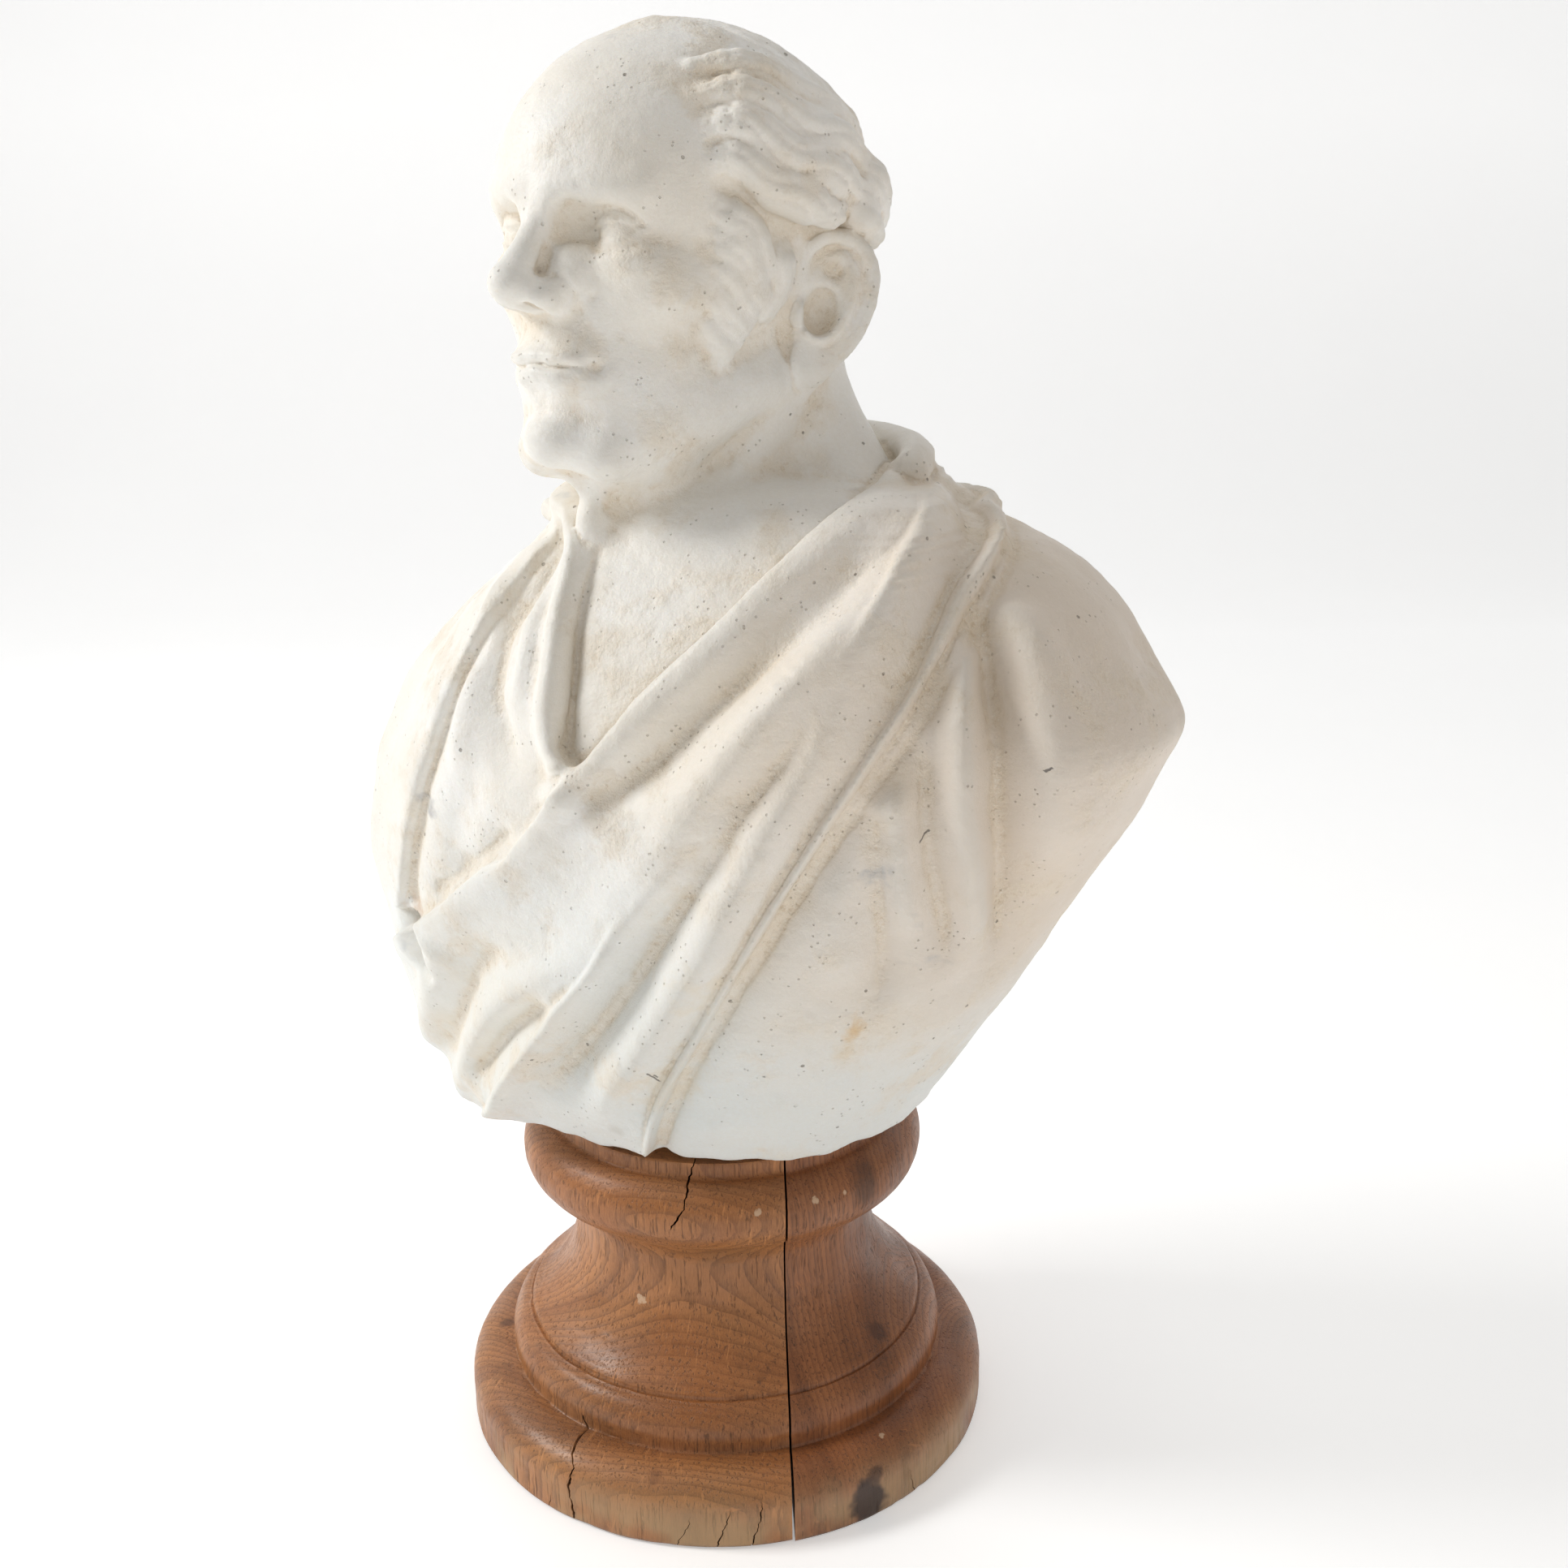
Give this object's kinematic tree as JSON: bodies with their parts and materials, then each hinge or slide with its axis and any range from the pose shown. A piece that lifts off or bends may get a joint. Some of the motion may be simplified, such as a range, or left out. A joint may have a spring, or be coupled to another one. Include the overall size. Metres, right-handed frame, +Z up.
{
  "type": "portrait bust on socle",
  "caption": "Draped stone bust with a hollowed back, turning on a dowel set in a turned oak socle with a torus, bell and broad foot.",
  "frame": {"origin": "on the axis of the turned socle, at its underside", "axes": "+Z up, -Y the way the chest faces, +X the figure's own left"},
  "size_m": [0.4892, 0.326, 0.814],
  "materials": {
    "oak_main": "waxed turned oak, satin",
    "oak_side": "waxed turned oak, darker, satin",
    "marble": "honed white marble, weathered",
    "iron": "wrought iron, dull",
    "lead": "poured lead, dull",
    "lead_sheet": "sheet lead, dull"
  },
  "bodies": {
    "socle": {"oak_main_block": "oak_main", "oak_side_block": "oak_side", "packing_disc": "lead_sheet"},
    "bust": {"marble_bust": "marble", "iron_dowel": "iron", "lead_setting": "lead"}
  },
  "joints": [
    {"name": "bust_swivel", "type": "hinge", "parent": "socle", "child": "bust", "pos_m": [0, 0, 0.21], "axis": [0, 0, 1], "continuous": true}
  ]
}
